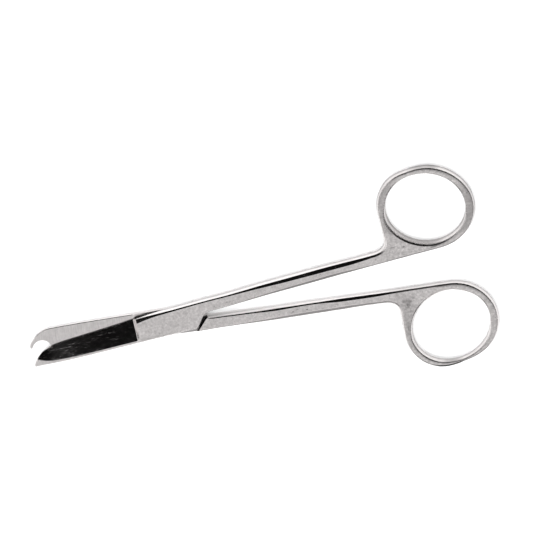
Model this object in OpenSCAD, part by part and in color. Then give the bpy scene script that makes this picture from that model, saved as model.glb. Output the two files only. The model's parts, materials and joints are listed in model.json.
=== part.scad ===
// Stitch scissors: two forged halves that lap at a screw joint.
// The tips point to -X, the finger rings to +X, and the scissors lie flat
// with the front half's face up. Both halves share one pattern, turned over
// about X for the second, and differ in the blade, the joint's side and the ring's bar.
// Lengths are in millimetres.

/* [Pose] */
// Angle between the two halves as the scissors lie
open_angle = 7.2; // [0:0.2:60]

/* [Blades] */
// Length of a blade from the joint's face to its tip
blade_len = 26.4; // [22:0.2:34]
// Thickness of a blade's back beside the joint
blade_heel_t = 1.75; // [1.4:0.05:1.9]
// Thickness of a blade's back at the tip
blade_tip_t = 1.0; // [0.7:0.05:1.3]
// Thickness left at the cutting edge
edge_t = 0.16; // [0.1:0.02:0.3]
// Radius of the round notch that makes the hook
notch_r = 2.4; // [1.9:0.05:2.45]

/* [Joint] */
// Thickness of the joint over both halves
joint_t = 4.0; // [3.6:0.1:5]
// Play between the two flat faces of the lap
lap_gap = 0.04; // [0.02:0.01:0.1]

/* [Screw] */
// Diameter of the screw's shank
screw_d = 3.0; // [2.4:0.1:3.4]
// Diameter of the screw's flat head
head_d = 4.4; // [4:0.1:4.8]
// Height of the screw's head
head_t = 0.9; // [0.6:0.05:1.1]
// Width of the slot
slot_w = 0.55; // [0.4:0.05:0.8]
// Depth of the slot
slot_depth = 0.45; // [0.3:0.05:0.5]
// Radial play of the turning half on the screw
run_gap = 0.03; // [0.02:0.01:0.06]

/* [Shanks] */
// Distance from the pivot to the middle of a finger ring
ring_x = 67.8; // [60:0.2:80]
// Width of a shank across its middle
shank_w = 3.3; // [3:0.05:3.6]

/* [Finger rings] */
// Long diameter of the hole
hole_long = 19.5; // [17:0.1:21]
// Short diameter of the hole
hole_short = 17.1; // [15:0.1:18]
// Lean of the long diameter from the shank's direction
ring_lean = 22; // [10:1:26]
// Width of the ring's bar at its widest
bar_w = 2.24; // [2:0.02:2.6]
// Thickness of the ring's bar and of the shank before it
bar_t = 3.0; // [2.6:0.1:3.4]

/* [Hidden] */

// ---- a smooth curve through a table of [x, y] knots ----
function knot(t, x, i = 0) = i >= len(t) - 2 || x < t[i + 1][0] ? i : knot(t, x, i + 1);
function grade(t, i) =
    i == 0 ? (t[1][1] - t[0][1]) / (t[1][0] - t[0][0]) :
    i == len(t) - 1 ? (t[i][1] - t[i - 1][1]) / (t[i][0] - t[i - 1][0]) :
    (t[i + 1][1] - t[i - 1][1]) / (t[i + 1][0] - t[i - 1][0]);
function curve(t, x) =
    let (c = max(t[0][0], min(t[len(t) - 1][0], x)),
         i = knot(t, c),
         h = t[i + 1][0] - t[i][0],
         u = (c - t[i][0]) / h,
         a = t[i][1], b = t[i + 1][1],
         m = grade(t, i) * h, n = grade(t, i + 1) * h)
    a + u * (m + u * (3 * (b - a) - 2 * m - n + u * (2 * (a - b) + m + n)));

// ---- lengthwise positions ----
half_t = joint_t / 2;
heel_x = -8.4;                 // where the blade starts
tip_x = heel_x - blade_len;
bar_h = bar_t / 2;
web_x = ring_x - 16.3;         // last station of the shank
ring_a = hole_long / 2 + bar_w;
ring_b = hole_short / 2 + bar_w;
// The rings clear each other by 0.3 mm when the blades are shut.
ring_drop = sqrt(pow(ring_a * sin(ring_lean), 2) + pow(ring_b * cos(ring_lean), 2));
ring_y = ring_drop + 0.15;

// half thickness of the body along X
function body_h(x) = half_t + (bar_h - half_t) * smooth(12, web_x - 3, x);

// outer edge of joint and shank, where it is widest
function out_y(kind, x) = kind == HOOKED ?
    curve([[-8, 3.16], [-4, 3.34], [0, 3.5], [3, 3.58], [6, 3.58], [9, 3.5], [13, 3.42],
        [18, shank_w + 0.14], [25, shank_w + 0.24], [34, shank_w + 0.22],
        [web_x - 10, shank_w + 0.18], [web_x - 3, shank_w + 0.05], [web_x, shank_w + 0.07]], x) :
    curve([[-8, 3.19], [-4, 3.22], [-1, 3.19], [2, 3.17], [9, 3.19], [16, shank_w - 0.16],
        [25, shank_w + 0.10], [34, shank_w + 0.18], [web_x - 10, shank_w + 0.16],
        [web_x - 3, shank_w + 0.05], [web_x, shank_w + 0.07]], x);
// inner edge of the shank
function in_y(x) = curve([[10.4, 0.2], [16, 0.2], [24, 0.17], [33, 0.12],
    [web_x - 10, 0.14], [web_x - 3, 0.2], [web_x, 0.22]], x);

// width of the flattened corner along the outer and the inner edge
function out_c(x) = curve([[-8, 0.95], [-6.5, 0.78], [-4, 0.45], [-1, 0.3], [4, 0.22], [12, 0.26],
    [18, 0.36], [27, 0.66], [34, 0.76], [web_x - 9, 0.76], [web_x - 3, 0.6], [web_x + 1, 0.5]], x);
function in_c(x) = curve([[-8, 0.12], [8, 0.12], [12, 0.16], [18, 0.22], [27, 0.5],
    [34, 0.62], [web_x - 9, 0.66], [web_x - 4, 0.42], [web_x, 0.28]], x);

// ---- the rule of one edge point: seven heights from face to face ----
// p is the point where the body is widest, n its outward direction,
// c the corner's width and height, d the side's draught, h the half thickness
function edge_pts(p, n, c, d, h) = let (k = min(c[1], h * 0.5), c = c[0]) [
    [p[0] - n[0] * (c + d), p[1] - n[1] * (c + d), h],
    [p[0] - n[0] * d, p[1] - n[1] * d, h - k],
    [p[0] - n[0] * d * 0.3, p[1] - n[1] * d * 0.3, (h - k) * 0.55],
    [p[0], p[1], 0],
    [p[0] - n[0] * d * 0.3, p[1] - n[1] * d * 0.3, -(h - k) * 0.55],
    [p[0] - n[0] * d, p[1] - n[1] * d, k - h],
    [p[0] - n[0] * (c + d), p[1] - n[1] * (c + d), -h]];

// ---- the blade, at shares f of its length ----
function spine_t(f) = blade_heel_t + (blade_tip_t - blade_heel_t) * f;
STRAIGHT = 0;
HOOKED = 1;
// cutting edge and back of each blade: [share at the edge, y, share at the back, y, y where the bevel starts]
straight_rows = [
    [0.996, -1.55, 1.003, -2.16, -1.80],
    [0.984, -0.95, 0.994, -2.17, -1.15],
    [0.966, -0.42, 0.980, -2.18, -0.60],
    [0.944, 0.15, 0.962, -2.20, -0.60],
    [0.920, 0.62, 0.940, -2.23, -0.86],
    [0.895, 1.02, 0.912, -2.27, -1.12],
    [0.865, 1.38, 0.880, -2.32, -1.42],
    [0.830, 1.66, 0.840, -2.39, -1.66],
    [0.785, 1.90, 0.790, -2.47, -1.82],
    [0.720, 2.10, 0.720, -2.57, -1.98],
    [0.630, 2.22, 0.630, -2.65, -2.11],
    [0.510, 2.34, 0.510, -2.72, -2.19],
    [0.370, 2.48, 0.370, -2.78, -2.25],
    [0.240, 2.62, 0.240, -2.82, -2.29],
    [0.110, 2.78, 0.115, -2.86, -2.33],
    [0.010, 2.94, 0.020, -2.88, -2.35]];
hooked_rows = [
    [0.992, 2.08, 1.004, 1.72, 1.85],
    [0.984, 2.08, 0.999, 1.22, 1.46],
    [0.970, 2.08, 0.986, 0.62, 0.92],
    [0.950, 2.08, 0.968, 0.02, 0.38],
    [0.925, 2.08, 0.945, -0.64, -0.22],
    [0.895, 2.08, 0.918, -1.28, -0.84],
    [0.860, 2.09, 0.888, -1.78, -1.33],
    [0.825, 2.10, 0.850, -2.18, -1.72],
    [0.790, 2.12, 0.810, -2.38, -1.92],
    [0.750, 2.14, 0.760, -2.47, -2.01],
    [0.700, 2.18, 0.705, -2.53, -2.08],
    [0.610, 2.26, 0.610, -2.61, -2.18],
    [0.500, 2.36, 0.500, -2.69, -2.28],
    [0.370, 2.48, 0.370, -2.76, -2.36],
    [0.240, 2.62, 0.240, -2.82, -2.42],
    [0.110, 2.78, 0.115, -2.86, -2.44],
    [0.010, 2.94, 0.020, -2.88, -2.44]];
function rows(kind) = kind == HOOKED ? hooked_rows : straight_rows;
function along(f) = heel_x - blade_len * f;
// seven heights at the cutting edge of row r
function edge_side(r) = let (
        e = [along(r[0]), r[1]], s = [along(r[2]), r[3]],
        u = (r[4] - r[3]) / (r[1] - r[3]),
        g = min(0.34 / norm(e - s), 0.3),
        b = s + (e - s) * u, m = e + (s - e) * g, t = spine_t(r[2])) [
    [b[0], b[1], t], [m[0], m[1], edge_t + 0.2], [e[0], e[1], edge_t], [e[0], e[1], 0],
    [e[0], e[1], -0.2], [m[0], m[1], -0.4], [b[0], b[1], -0.6]];
// seven heights at the back of row r
function back_side(r) = let (
        e = [along(r[0]), r[1]], s = [along(r[2]), r[3]],
        w = (e - s) / norm(e - s), t = spine_t(r[2])) [
    [s[0] + w[0] * 0.12, s[1] + w[1] * 0.12, t], [s[0] + w[0] * 0.03, s[1] + w[1] * 0.03, t - 0.12],
    [s[0], s[1], t * 0.5], [s[0], s[1], 0], [s[0], s[1], -0.2],
    [s[0] + w[0] * 0.05, s[1] + w[1] * 0.05, -0.4], [s[0] + w[0] * 0.12, s[1] + w[1] * 0.12, -0.6]];

// ---- plan of joint, shank and ring, point by point ----
// pairs of points across the body: outer edge and inner edge
function joint_pairs(kind) = [
    [[-7.9, out_y(kind, -7.9)], [-8.35, -2.92]],
    [[-7.0, out_y(kind, -7.0)], [-7.0, -2.93]],
    [[-5.5, out_y(kind, -5.5)], [-5.3, -2.96]],
    [[-3.0, out_y(kind, -3.0)], [-2.5, -3.02]],
    [[0, out_y(kind, 0)], [0.5, -3.1]],
    [[2.5, out_y(kind, 2.5)], [3.2, -3.14]],
    [[4.5, out_y(kind, 4.5)], [5.1, -3.2]],
    [[5.6, out_y(kind, 5.6)], [5.85, -3.16]],
    [[6.4, out_y(kind, 6.4)], [6.3, -2.92]],
    [[7.2, out_y(kind, 7.2)], [7.15, -2.0]],
    [[8.0, out_y(kind, 8.0)], [8.05, -0.82]],
    [[8.7, out_y(kind, 8.7)], [8.75, -0.15]],
    [[9.4, out_y(kind, 9.4)], [9.5, 0.1]]];
shank_x = concat([for (x = [10.4, 12, 14, 16.5, 19]) x],
    [for (i = [0:8]) 22 + (web_x - 2.5 - 22) * i / 8], [web_x]);
function shank_pairs(kind) = [for (x = shank_x) [[x, out_y(kind, x)], [x, in_y(x)]]];
both_pairs = [for (k = [STRAIGHT, HOOKED]) concat(joint_pairs(k), shank_pairs(k))];
NP = len(both_pairs[0]);

// ring ellipse at angle t: half lengths a, b
function ring_pt(a, b, t) = [
    ring_x + a * cos(t) * cos(ring_lean) + b * sin(t) * sin(ring_lean),
    ring_y - a * cos(t) * sin(ring_lean) + b * sin(t) * cos(ring_lean)];
// angles on the ellipse of its leftmost and its lowest point
t_left = 180 + atan2(ring_b * sin(ring_lean), ring_a * cos(ring_lean));
t_low = 270 + atan2(ring_a * sin(ring_lean), ring_b * cos(ring_lean));
left_x = ring_pt(ring_a, ring_b, t_left)[0];
left_y = ring_pt(ring_a, ring_b, t_left)[1];
low_x = ring_pt(ring_a, ring_b, t_low)[0];
SWEEP = 46;
// web between shank and ring: outline points after the last shank station,
// as [x, y, angle of the matching point on the hole]
web_out = [
    [web_x + 1.6, 3.44, t_left + 57], [web_x + 2.7, 3.7, t_left + 51],
    [left_x - 0.95, 4.22, t_left + 45], [left_x - 0.45, 4.9, t_left + 38],
    [left_x - 0.2, 5.8, t_left + 31], [left_x - 0.12, 7.0, t_left + 24],
    [left_x - 0.08, 8.4, t_left + 16], [left_x - 0.04, 10.0, t_left + 8]];
web_in = [for (i = [0:7]) let (u = i / 8)
    [low_x - 2 - (low_x - 2 - web_x) * u, 0.15 + 0.09 * u, t_low - 4 - 24 * u]];
// how much slimmer (or, below 0, wider) the bar is than bar_w, by angle, for the straight and the hooked half
slim_rows = [
    [[-60, 0], [-40, -0.1], [-12, -0.2], [20, -0.2], [44, -0.16], [62, -0.03], [80, 0.06],
        [95, 0.2], [108, 0.4], [120, 0.5], [132, 0.3], [142, 0.08], [150, 0]],
    [[40, 0], [60, 0.2], [80, 0.7], [92, 0.98], [100, 1.05], [108, 0.9], [118, 0.62], [126, 0.35],
        [138, 0.12], [155, 0]]];
function slim(kind, t) = curve(slim_rows[kind], t) * bar_w / 2.24;
// the corners of the section get smaller with it
function fine(kind, t) = 1 - 0.52 * slim(kind, t);
function ring_run(kind) = [for (i = [0:SWEEP])
    let (t = t_left - (t_left + 360 - t_low) * i / SWEEP, w = slim(kind, t))
    concat(ring_pt(ring_a - w, ring_b - w, t), [t])];
function ring_rows(kind) = concat([concat(both_pairs[kind][NP - 1][0], [t_left + 62])],
    web_out, ring_run(kind), web_in,
    [concat(both_pairs[kind][NP - 1][1], [t_low - 30])]);
both_rows = [ring_rows(STRAIGHT), ring_rows(HOOKED)];

NR = len(both_rows[0]);
// closed plan outline without the blade: out along the outer edge, round the ring and back
plans = [for (k = [STRAIGHT, HOOKED]) concat([for (p = both_pairs[k]) p[0]],
    [for (i = [1:NR - 2]) [both_rows[k][i][0], both_rows[k][i][1]]],
    [for (i = [NP - 1:-1:0]) both_pairs[k][i][1]])];
function unit(v) = v / norm(v);
function outward(plan, i) = let (a = plan[max(i - 1, 0)], b = plan[min(i + 1, len(plan) - 1)],
    d = unit(b - a)) [-d[1], d[0]];
// corner [width, height] and draught round the outline
function corner(kind, i) = let (plan = plans[kind], x = plan[i][0])
    i < NP ? [[out_c(x), out_c(x) * 0.48], kind == HOOKED ? 0.43 : 0.12 + 0.33 * smooth(14, 34, x)] :
    i >= len(plan) - NP ? (x < 9.6 ? [[0.12, 0.12], x < 5.5 ? 0.06 : 0.02]
        : [[in_c(x), in_c(x) * 0.56], 0.04 + 0.16 * smooth(12, 26, x)]) :
    let (r = i - NP + 1)
    r <= len(web_out) ? [[0.5 - 0.1 * r / len(web_out), 0.26], 0.45 - 0.15 * r / len(web_out)] :
    r > len(web_out) + SWEEP ? [[0.3, 0.24], 0.2] :
    let (u = smooth(SWEEP - 8, SWEEP, r - len(web_out)), f = fine(kind, both_rows[kind][r][2]))
    [[(0.4 - 0.1 * u) * f, (0.36 - 0.12 * u) * f], (0.28 - 0.08 * u) * f];
function smooth(a, b, x) = let (u = max(0, min(1, (x - a) / (b - a)))) u * u * (3 - 2 * u);
function body_side(kind) = let (plan = plans[kind]) [for (i = [0:len(plan) - 1]) let (c = corner(kind, i))
    edge_pts(plan[i], outward(plan, i), c[0], c[1], body_h(plan[i][0]))];

// all outline points with the blade, and the points of the hole
function side_pts(kind) = concat([for (r = rows(kind)) edge_side(r)], body_side(kind),
    [for (i = [len(rows(kind)) - 1:-1:0]) back_side(rows(kind)[i])]);
function hole_side(kind) = [for (r = both_rows[kind]) let (
        a = hole_long / 2, b = hole_short / 2,
        p = ring_pt(a, b, r[2]), q = ring_pt(a * 1.001, b * 1.001, r[2]),
        d = unit([cos(r[2]) / a * cos(ring_lean) + sin(r[2]) / b * sin(ring_lean),
                  -cos(r[2]) / a * sin(ring_lean) + sin(r[2]) / b * cos(ring_lean)]))
    // the flank is wider beside the web
    let (w = smooth(0.3, 0.85, cos(r[2] - 247)), f = fine(kind, r[2]))
    edge_pts(p, -d, [(0.38 + 0.16 * w) * f, 0.34 * f], (0.3 + 0.2 * w) * f, body_h(p[0]))];

module forging(kind) {
    sp = side_pts(kind);
    m = len(sp);
    s = len(rows(kind)) + NP;        // stations up to the web
    points = concat([for (e = sp) each e], [for (e = hole_side(kind)) each e]);
    function o(i, l) = ((i + m) % m) * 7 + l;
    function h(k, l) = (m + (k + NR) % NR) * 7 + l;
    faces = concat(
        [for (i = [0:m - 1]) for (l = [0:5]) [o(i, l), o(i, l + 1), o(i + 1, l + 1), o(i + 1, l)]],
        [for (k = [0:NR - 1]) for (l = [0:5]) [h(k, l + 1), h(k, l), h(k + 1, l), h(k + 1, l + 1)]],
        [for (i = [0:s - 2]) [o(m - 1 - i, 0), o(i, 0), o(i + 1, 0), o(m - 2 - i, 0)]],
        [for (i = [0:s - 2]) [o(i, 6), o(m - 1 - i, 6), o(m - 2 - i, 6), o(i + 1, 6)]],
        [for (k = [0:NR - 2]) [h(k, 0), o(s - 1 + k, 0), o(s + k, 0), h(k + 1, 0)]],
        [for (k = [0:NR - 2]) [o(s - 1 + k, 6), h(k, 6), h(k + 1, 6), o(s + k, 6)]],
        [[o(m - s, 0), o(s - 1, 0), h(0, 0), h(NR - 1, 0)]],
        [[o(s - 1, 6), o(m - s, 6), h(NR - 1, 6), h(0, 6)]]);
    polyhedron(points = points, faces = faces, convexity = 8);
}

// space cut from the back of a half: blade and lap face up to the shoulder
module lap_space() {
    translate([0, 0, -joint_t])
        linear_extrude(height = joint_t + lap_gap / 2)
            polygon([[tip_x - 5, -8], [tip_x - 5, 8], [2.5, 8.07], [6.86, 2.6], [8.47, 0.65],
                [8.66, 0.42], [8.92, 0.2], [9.25, 0], [9.3, -8]]);
}

module half(kind, hole_r, sink_r) {
    difference() {
        forging(kind);
        lap_space();
        translate([0, 0, -1]) cylinder(r = hole_r, h = joint_t + 2, $fn = 96);
        if (sink_r > 0)
            translate([0, 0, half_t - head_t - 0.06]) cylinder(r = sink_r, h = 3, $fn = 96);
        if (kind == HOOKED)
            translate([along(0.892), 2.68, -1]) cylinder(r = notch_r, h = joint_t, $fn = 96);
    }
}

// the whole is laid so that its box's bottom centre is the origin
lay_x = -21.98 * (ring_x + ring_a - tip_x) / 114.6;
module laid() translate([lay_x, 0, half_t]) children();

module front_half() {
    color("silver") laid() rotate([0, 0, open_angle / 2]) half(STRAIGHT, screw_d / 2, 0);
}

module hooked_half() {
    color("lightsteelblue") laid() rotate([0, 0, -open_angle / 2]) rotate([180, 0, 0])
        half(HOOKED, screw_d / 2 + run_gap, head_d / 2 + 0.05);
}

module pivot_screw() {
    color("gainsboro") laid() rotate([0, 0, 24]) difference() {
        union() {
            translate([0, 0, -half_t + 0.5]) cylinder(r = screw_d / 2, h = joint_t - 0.5, $fn = 96);
            translate([0, 0, -half_t + 0.02]) cylinder(r = head_d / 2, h = head_t, $fn = 96);
        }
        translate([-head_d, -slot_w / 2, -half_t - 1]) cube([head_d * 2, slot_w, slot_depth + 1.02]);
    }
}

front_half();
hooked_half();
pivot_screw();
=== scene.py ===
import json
import math
import bpy
import bmesh
import numpy as np
from mathutils import Matrix, Vector


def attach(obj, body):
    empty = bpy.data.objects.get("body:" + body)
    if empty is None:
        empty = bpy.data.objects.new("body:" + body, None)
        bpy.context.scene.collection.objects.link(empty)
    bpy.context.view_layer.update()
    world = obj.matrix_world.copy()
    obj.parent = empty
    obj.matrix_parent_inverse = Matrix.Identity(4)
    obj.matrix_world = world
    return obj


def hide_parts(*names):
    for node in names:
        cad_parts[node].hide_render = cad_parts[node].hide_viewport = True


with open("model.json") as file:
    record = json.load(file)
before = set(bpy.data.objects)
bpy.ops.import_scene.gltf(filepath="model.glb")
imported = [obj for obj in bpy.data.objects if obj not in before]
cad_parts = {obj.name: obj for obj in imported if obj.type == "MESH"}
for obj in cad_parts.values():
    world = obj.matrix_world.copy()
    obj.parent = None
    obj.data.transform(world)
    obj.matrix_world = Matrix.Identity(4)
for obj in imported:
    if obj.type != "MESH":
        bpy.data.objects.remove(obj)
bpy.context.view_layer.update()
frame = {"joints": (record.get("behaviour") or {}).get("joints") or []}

PIVOT = Vector(frame["joints"][0]["pos_m"])
OPEN = 7.2                      # degrees between the halves at rest

# ------------------------------------------------------------------ numbers, in mm
BLADE_LEN, HEEL_X = 26.4, -8.4
HEEL_T, TIP_T, EDGE_T = 1.75, 1.0, 0.16
HALF_T, BAR_H, SHANK_W = 2.0, 1.5, 3.3
RING_X, WEB_X = 67.8, 51.5
HOLE_A, HOLE_B, BAR_W = 9.75, 8.55, 2.24
LEAN = math.radians(22)
RA, RB = HOLE_A + BAR_W, HOLE_B + BAR_W
RING_Y = math.hypot(RA * math.sin(LEAN), RB * math.cos(LEAN)) + 0.15
LAP = 0.02
STRAIGHT, HOOKED = 0, 1


def smooth(a, b, x):
    u = max(0.0, min(1.0, (x - a) / (b - a)))
    return u * u * (3 - 2 * u)


def curve(t, x):
    """A smooth curve through a table of knots."""
    n = len(t)
    c = max(t[0][0], min(t[-1][0], x))
    i = 0
    while i < n - 2 and c >= t[i + 1][0]:
        i += 1

    def grade(k):
        if k == 0:
            return (t[1][1] - t[0][1]) / (t[1][0] - t[0][0])
        if k == n - 1:
            return (t[k][1] - t[k - 1][1]) / (t[k][0] - t[k - 1][0])
        return (t[k + 1][1] - t[k - 1][1]) / (t[k + 1][0] - t[k - 1][0])
    h = t[i + 1][0] - t[i][0]
    u = (c - t[i][0]) / h
    a, b = t[i][1], t[i + 1][1]
    m, q = grade(i) * h, grade(i + 1) * h
    return a + u * (m + u * (3 * (b - a) - 2 * m - q + u * (2 * (a - b) + m + q)))


def spline(points, params):
    """Points on a smooth curve through rows of values. params runs from 0 to 1 by length along the first two columns."""
    p = np.array(points, float)
    d = np.r_[0, np.cumsum(np.maximum(1e-6, np.linalg.norm(np.diff(p[:, :2], axis=0), axis=1)))]
    d /= d[-1]
    m = np.zeros_like(p)
    h = np.diff(d)
    s = np.diff(p, axis=0) / h[:, None]
    m[1:-1] = (s[:-1] * h[1:, None] + s[1:] * h[:-1, None]) / (h[:-1] + h[1:])[:, None]
    m[0], m[-1] = s[0], s[-1]
    out = []
    for t in params:
        i = min(len(h) - 1, max(0, int(np.searchsorted(d, t, side="right")) - 1))
        u = (t - d[i]) / h[i]
        a, b = p[i], p[i + 1]
        out.append(a * (2 * u**3 - 3 * u**2 + 1) + m[i] * h[i] * (u**3 - 2 * u**2 + u)
                   + b * (3 * u**2 - 2 * u**3) + m[i + 1] * h[i] * (u**3 - u**2))
    return np.array(out)


def body_h(x):
    return HALF_T + (BAR_H - HALF_T) * smooth(12, WEB_X - 3, x)


def out_y(x, kind=0):
    w = SHANK_W
    if kind == HOOKED:
        return curve([[-8, 3.16], [-4, 3.34], [0, 3.5], [3, 3.58], [6, 3.58], [9, 3.5], [13, 3.42], [18, w + 0.14], [25, w + 0.24],
                      [34, w + 0.22], [WEB_X - 10, w + 0.18], [WEB_X - 3, w + 0.05], [WEB_X, w + 0.07]], x)
    return curve([[-8, 3.19], [-4, 3.22], [-1, 3.19], [2, 3.17], [9, 3.19], [16, w - 0.16], [25, w + 0.10], [34, w + 0.18],
                  [WEB_X - 10, w + 0.16], [WEB_X - 3, w + 0.05], [WEB_X, w + 0.07]], x)


def in_y(x):
    return curve([[10.4, 0.2], [16, 0.2], [24, 0.17], [33, 0.12], [WEB_X - 10, 0.14], [WEB_X - 3, 0.2], [WEB_X, 0.22]], x)


def out_c(x, kind=0):
    if kind == STRAIGHT:
        return curve([[-8, 1.05], [-6.5, 0.86], [-4, 0.60], [-1, 0.45], [4, 0.36], [9, 0.32], [14, 0.32], [18, 0.40], [27, 0.70], [33, 0.78],
                      [39.5, 0.85], [45.9, 0.80], [49.2, 0.64], [52.5, 0.46]], x)
    return curve([[-8, 0.95], [-6.5, 0.78], [-4, 0.5], [-1, 0.36], [4, 0.28], [12, 0.28], [18, 0.36], [27, 0.66], [34, 0.76],
                  [WEB_X - 9, 0.76], [WEB_X - 3, 0.6], [WEB_X + 1, 0.5]], x)


def in_c(x, kind=0):
    if kind == HOOKED:
        return curve([[-8, 0.12], [8, 0.12], [10.4, 0.18], [16, 0.24], [21, 0.28], [24, 0.38], [26.5, 0.44], [29.6, 0.36],
                      [33.5, 0.29], [37.5, 0.36], [41.4, 0.61], [47.9, 0.62], [51.5, 0.55], [54.3, 0.42], [56.7, 0.35], [60, 0.30]], x)
    return curve([[-8, 0.12], [8, 0.12], [12, 0.16], [18, 0.22], [27, 0.5], [34, 0.62], [WEB_X - 9, 0.66], [WEB_X - 4, 0.42],
                  [WEB_X, 0.28]], x)


def spine_t(f):
    return HEEL_T + (TIP_T - HEEL_T) * f


STRAIGHT_ROWS = [
    [0.996, -1.55, 1.003, -2.16, -1.80], [0.984, -0.95, 0.994, -2.17, -1.15], [0.966, -0.42, 0.980, -2.18, -0.60],
    [0.944, 0.15, 0.962, -2.20, -0.60], [0.920, 0.62, 0.940, -2.23, -0.86], [0.895, 1.02, 0.912, -2.27, -1.12],
    [0.865, 1.38, 0.880, -2.32, -1.42], [0.830, 1.66, 0.840, -2.39, -1.66], [0.785, 1.90, 0.790, -2.47, -1.82],
    [0.720, 2.10, 0.720, -2.57, -1.98], [0.630, 2.22, 0.630, -2.65, -2.11], [0.510, 2.34, 0.510, -2.72, -2.19],
    [0.370, 2.48, 0.370, -2.78, -2.25], [0.240, 2.62, 0.240, -2.82, -2.29], [0.110, 2.78, 0.115, -2.86, -2.33],
    [0.010, 2.94, 0.020, -2.88, -2.35]]
HOOKED_ROWS = [
    [0.992, 2.08, 1.004, 1.72, 1.85], [0.984, 2.08, 0.999, 1.22, 1.46], [0.970, 2.08, 0.986, 0.62, 0.92],
    [0.950, 2.08, 0.968, 0.02, 0.38], [0.925, 2.08, 0.945, -0.64, -0.22], [0.895, 2.08, 0.918, -1.28, -0.84],
    [0.860, 2.09, 0.888, -1.78, -1.33], [0.825, 2.10, 0.850, -2.18, -1.72], [0.790, 2.12, 0.810, -2.38, -1.92],
    [0.750, 2.14, 0.760, -2.47, -2.01], [0.700, 2.18, 0.705, -2.53, -2.08], [0.610, 2.26, 0.610, -2.61, -2.18],
    [0.500, 2.36, 0.500, -2.69, -2.28], [0.370, 2.48, 0.370, -2.76, -2.36], [0.240, 2.62, 0.240, -2.82, -2.42],
    [0.110, 2.78, 0.115, -2.86, -2.44], [0.010, 2.94, 0.020, -2.88, -2.44]]
# the joint's lobe and neck: the two sides' x, and the inner side's y
JOINT_INNER = [(-7.9, -8.35, -2.92), (-7.0, -7.0, -2.93), (-5.5, -5.3, -2.96), (-3.0, -2.5, -3.02), (0, 0.5, -3.1), (2.5, 3.2, -3.14),
               (4.5, 5.1, -3.2), (5.6, 5.85, -3.16), (6.4, 6.3, -2.92), (7.2, 7.15, -2.0), (8.0, 8.05, -0.82), (8.7, 8.75, -0.15),
               (9.4, 9.5, 0.1), (10.4, 10.4, in_y(10.4)), (12, 12, in_y(12))]


def ring_pt(a, b, t):
    return (RING_X + a * math.cos(t) * math.cos(LEAN) + b * math.sin(t) * math.sin(LEAN),
            RING_Y - a * math.cos(t) * math.sin(LEAN) + b * math.sin(t) * math.cos(LEAN))


T_LEFT = 180 + math.degrees(math.atan2(RB * math.sin(LEAN), RA * math.cos(LEAN)))
T_LOW = 270 + math.degrees(math.atan2(RA * math.sin(LEAN), RB * math.cos(LEAN)))
LEFT_X, LEFT_Y = ring_pt(RA, RB, math.radians(T_LEFT))
LOW_X = ring_pt(RA, RB, math.radians(T_LOW))[0]
# how much slimmer the ring's bar is, by angle, in the two halves
SLIM = {STRAIGHT: [[-60, 0], [-40, -0.1], [-12, -0.2], [20, -0.2], [44, -0.16], [62, -0.03], [80, 0.06], [95, 0.2], [108, 0.4],
                   [120, 0.5], [132, 0.3], [142, 0.08], [150, 0]],
        HOOKED: [[40, 0], [60, 0.2], [80, 0.7], [92, 0.98], [100, 1.05], [108, 0.9], [118, 0.62], [126, 0.35], [138, 0.12], [155, 0]]}
# the side that the picture's top lies on, in each half's own frame
TOPWARD = {STRAIGHT: np.array([math.cos(math.radians(74.2)), math.sin(math.radians(74.2))]),
           HOOKED: np.array([math.cos(math.radians(81.4)), -math.sin(math.radians(81.4))])}


def rim_pt(kind, t):
    w = curve(SLIM[kind], t) + 0.02
    return ring_pt(RA - w, RB - w, math.radians(t))

# ------------------------------------------------------------------ the section's rule
NB = 4                          # points in each rounded corner


def bend(a, p, b, n=NB):
    """n points of a corner p rounded between a and b."""
    return [tuple(a[k] * (1 - t)**2 + 2 * p[k] * t * (1 - t) + b[k] * t**2 for k in (0, 1)) for t in [i / (n - 1) for i in range(n)]]


def flank(c, k, d, h, low, r0, r1, bow=1.7):
    """Inset and height of the side's points from the face down to height low. Mirrored below if low is -h."""
    def side(z):            # bowed side wall
        u = max(0.0, z) / (h - k)
        return d * u**bow
    p0, p1 = (c + d, h), (d, h - k)
    L = math.hypot(c, k)
    r0, r1 = min(r0, 0.45 * L), min(r1, 0.45 * L, 0.4 * (h - k))
    e = ((p1[0] - p0[0]) / L, (p1[1] - p0[1]) / L)
    a0, b0 = (p0[0] + r0, h), (p0[0] + e[0] * r0, p0[1] + e[1] * r0)
    a1, b1 = (p1[0] - e[0] * r1, p1[1] - e[1] * r1), (side(h - k - r1), h - k - r1)
    pts = bend(a0, p0, b0)
    pts += [tuple(b0[i] + (a1[i] - b0[i]) * t for i in (0, 1)) for t in (0.12, 0.5, 0.88)]
    pts += bend(a1, p1, b1)
    zt = b1[1]
    pts += [(side(z), z) for z in (0.93 * zt, 0.8 * zt, 0.62 * zt, 0.42 * zt, 0.2 * zt)]
    pts += [(0.0, 0.0)]
    if low <= -h + 1e-6:
        return pts + [(s, -z) for s, z in reversed(pts[:-1])]
    n = len(pts) - 1
    return pts + [(0.0, low * (i + 1) / n) for i in range(n)]


NL = len(flank(0.3, 0.2, 0.3, 2.0, -2.0, 0.05, 0.05))
NHALF = (NL + 1) // 2
KB, KT = 14, 18                 # cap samples: the bevel starts at KB of KT


def cap_shares(bevel):
    """Places across the face for the samples of one station; bevel is where the grind meets the back's flat."""
    a = [0, 0.012, 0.04] + [0.04 + (bevel - 0.052) * (i + 1) / (KB - 3) for i in range(KB - 3)] + [bevel]
    return a + [bevel + (1 - bevel) * t for t in (0.08, 0.5, 0.92, 1.0)]


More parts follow.
